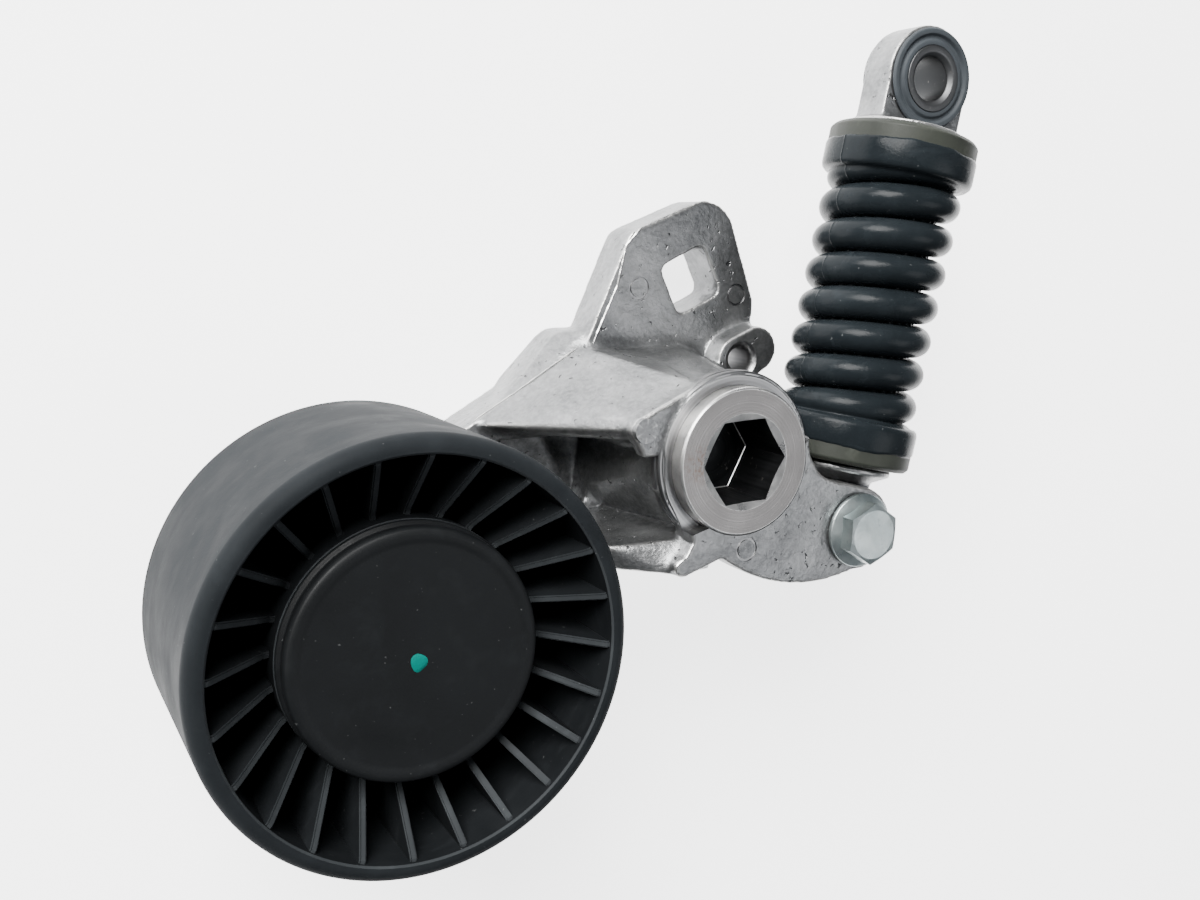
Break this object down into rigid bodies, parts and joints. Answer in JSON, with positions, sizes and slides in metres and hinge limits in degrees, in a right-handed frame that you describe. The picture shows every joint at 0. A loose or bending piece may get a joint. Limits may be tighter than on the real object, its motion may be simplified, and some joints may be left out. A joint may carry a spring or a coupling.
{
  "type": "belt tensioner idler",
  "caption": "Belt tensioner: a cast arm on a pivot pin carries a smooth idler pulley and is loaded by a sprung hydraulic strut with a rubber boot.",
  "frame": {"origin": "centre of the pivot pin's rear face, where it seats on the engine", "axes": "+Z along the pivot axis away from the engine; +X and +Y across it, with the pulley to the lower left and the strut to the upper right"},
  "size_m": [0.1988, 0.175, 0.0705],
  "materials": {
    "cast_alloy": "as die cast, matt with bright parting edges",
    "ground_steel": "turned and ground",
    "zinc_plate": "bright zinc plate",
    "spring_steel": "dark coated spring wire",
    "bush_bronze": "plain bearing bronze",
    "pulley_plastic": "glass filled polyamide, fine moulded grain",
    "cap_plastic": "smooth moulded cap",
    "cage_polymer": "moulded cage",
    "matt_rubber": "matt bonded rubber",
    "boot_rubber": "glossy moulded rubber",
    "seat_plate": "olive passivated pressed steel"
  },
  "bodies": {
    "engine_pin": {"pivot_pin": "ground_steel", "rear_thrust_washer": "ground_steel", "retaining_ring": "ground_steel"},
    "arm": {"tensioner_arm": "cast_alloy", "front_bush": "bush_bronze", "rear_bush": "bush_bronze", "front_seal_ring": "matt_rubber", "pulley_bolt": "zinc_plate", "pulley_spacer": "ground_steel", "bearing_inner_ring": "ground_steel", "flange_bolt": "zinc_plate", "strut_nut": "zinc_plate", "lower_sleeve": "ground_steel"},
    "pulley": {"pulley": "pulley_plastic", "bearing_outer_ring": "ground_steel", "bearing_seal_front": "matt_rubber", "bearing_seal_rear": "matt_rubber", "dust_cap": "cap_plastic"},
    "ball_set": {"bearing_cage": "cage_polymer", "bearing_ball_1": "ground_steel", "bearing_ball_2": "ground_steel", "bearing_ball_3": "ground_steel", "bearing_ball_4": "ground_steel", "bearing_ball_5": "ground_steel", "bearing_ball_6": "ground_steel", "bearing_ball_7": "ground_steel", "bearing_ball_8": "ground_steel"},
    "strut_lower": {"strut_cylinder": "cast_alloy", "lower_rubber_bush": "matt_rubber", "lower_spring_seat": "seat_plate", "rod_guide": "bush_bronze", "rod_seal": "matt_rubber", "rubber_boot": "boot_rubber", "coil_spring": "spring_steel"},
    "strut_upper": {"piston_rod": "ground_steel", "piston": "ground_steel", "upper_eye": "cast_alloy", "upper_rubber_bush": "matt_rubber", "upper_spring_seat": "seat_plate"},
    "eye_sleeve": {"upper_sleeve": "ground_steel"}
  },
  "joints": [
    {"name": "arm_swing", "type": "hinge", "parent": "engine_pin", "child": "arm", "pos_m": [0, 0, 0], "axis": [0, 0, 1], "range_deg": [0, 20], "stiffness_Nm_per_rad": 56, "springref_deg": -12.03},
    {"name": "pulley_spin", "type": "hinge", "parent": "arm", "child": "pulley", "pos_m": [-0.082, -0.03, 0.04575], "axis": [0, 0, 1], "continuous": true},
    {"name": "ball_set_spin", "type": "hinge", "parent": "arm", "child": "ball_set", "pos_m": [-0.082, -0.03, 0.04575], "axis": [0, 0, 1], "continuous": true},
    {"name": "strut_swing", "type": "hinge", "parent": "arm", "child": "strut_lower", "pos_m": [0.0331, -0.0196, 0.044], "axis": [0, 0, 1], "range_deg": [-18.97, 0]},
    {"name": "strut_slide", "type": "slide", "parent": "strut_lower", "child": "strut_upper", "axis": [0.2215, 0.9751, 0], "range_m": [-0.01327, 0], "deforming": ["coil_spring", "rubber_boot"]},
    {"name": "eye_twist", "type": "hinge", "parent": "strut_upper", "child": "eye_sleeve", "pos_m": [0.05743, 0.08747, 0.044], "axis": [0, 0, 1], "range_deg": [-1.13, 0]}
  ],
  "couplings": [
    {"joint": "strut_swing", "follows": "arm_swing", "ratio": -0.946},
    {"joint": "strut_slide", "follows": "arm_swing", "m_per_rad": -0.03787},
    {"joint": "eye_twist", "follows": "arm_swing", "ratio": -0.054},
    {"joint": "ball_set_spin", "follows": "pulley_spin", "ratio": 0.6328}
  ]
}
